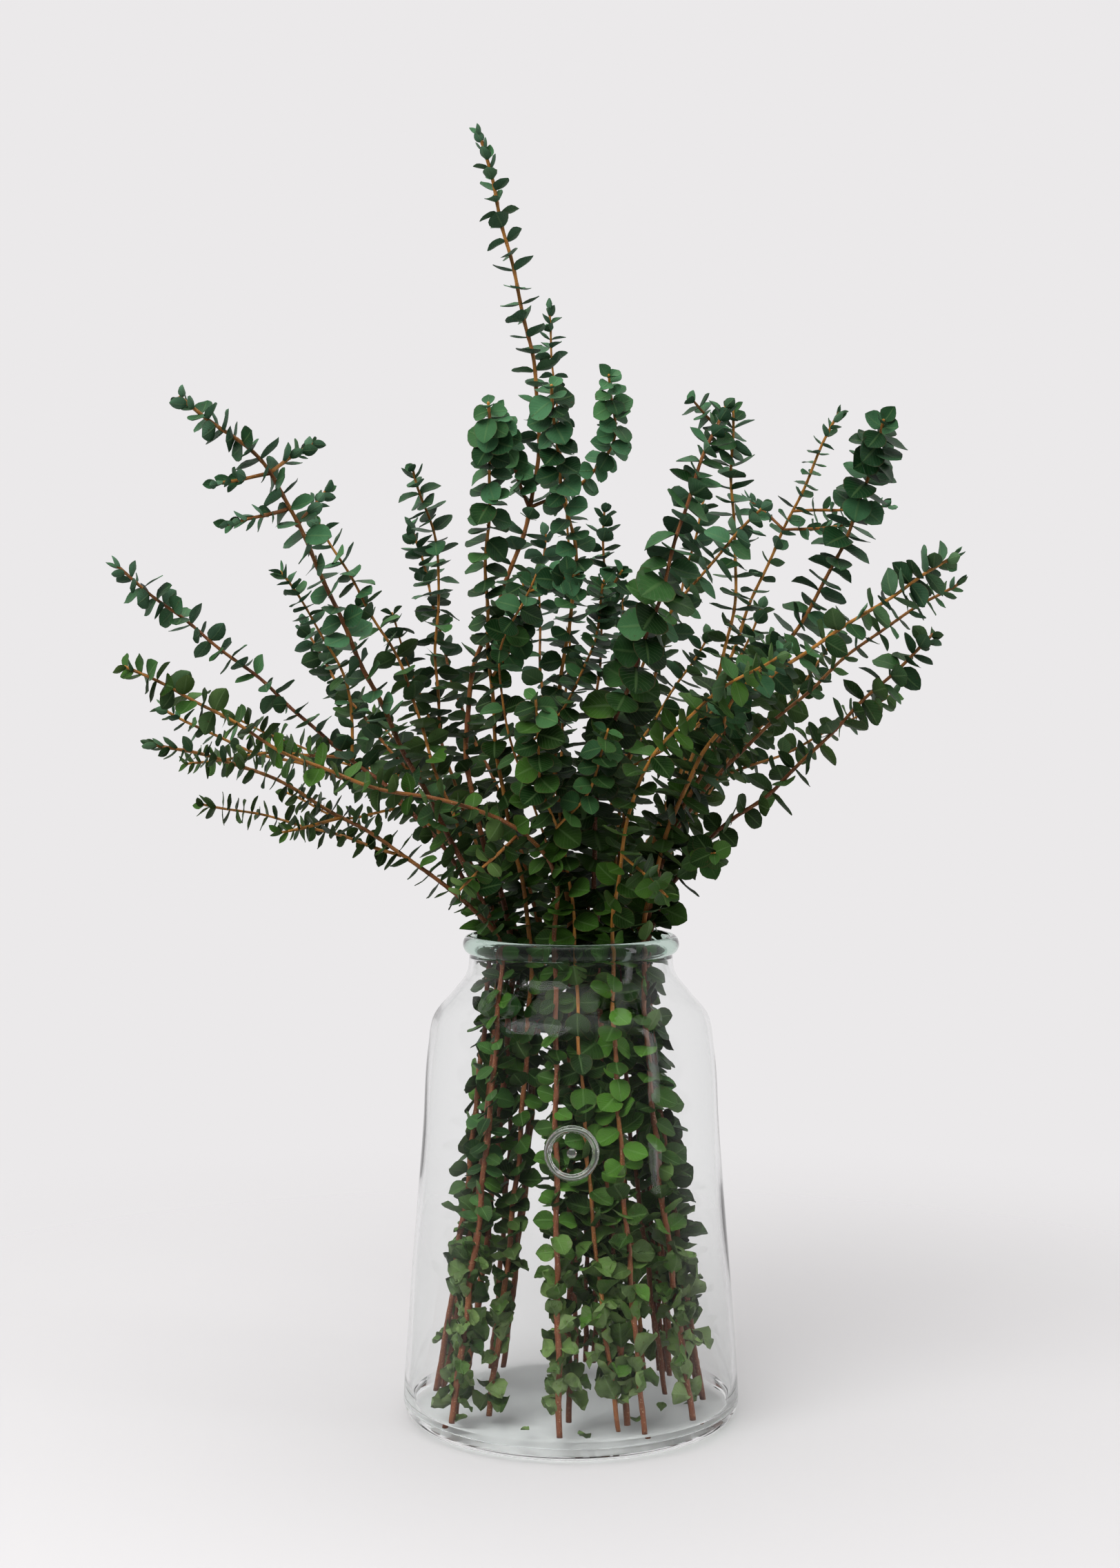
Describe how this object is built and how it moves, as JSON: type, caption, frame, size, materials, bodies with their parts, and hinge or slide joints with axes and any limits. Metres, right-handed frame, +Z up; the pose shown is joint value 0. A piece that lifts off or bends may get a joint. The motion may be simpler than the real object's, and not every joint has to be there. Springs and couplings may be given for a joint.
{
  "type": "eucalyptus branches in a glass jar",
  "caption": "Bunch of preserved round-leaved eucalyptus branches fanning out of a tall tapered clear glass jar with a rolled collar and a round glass seal",
  "frame": {"origin": "centre of the flat underside of the jar, where it rests", "axes": "+Z up along the jar's axis, -Y towards the viewer and the side with the seal, +X to the viewer's right"},
  "size_m": [0.6225, 0.3618, 0.9263],
  "materials": {
    "glass": "clear mouth-blown glass with a faint green-grey tint, smooth and glossy",
    "foliage": "dark leathery matte green leaves with paler veins on orange-brown woody stems"
  },
  "bodies": {
    "root": {"back_far_left": "foliage", "back_far_right": "foliage", "back_low_left": "foliage", "back_low_right": "foliage", "back_middle": "foliage", "back_right": "foliage", "back_top_left": "foliage", "back_top_right": "foliage", "behind_right": "foliage", "centre_back": "foliage", "centre_left": "foliage", "dark_round": "foliage", "front_centre": "foliage", "front_left": "foliage", "front_low": "foliage", "front_right": "foliage", "grey_left": "foliage", "grey_right": "foliage", "jar": "glass", "leader": "foliage", "left_back": "foliage", "left_front": "foliage", "left_high": "foliage", "left_low": "foliage", "left_mid": "foliage", "red_twigs": "foliage", "right_high": "foliage", "right_low": "foliage", "right_mid": "foliage", "right_upright": "foliage", "rosette": "foliage", "round_leaves": "foliage", "tall_thin": "foliage"}
  },
  "joints": []
}
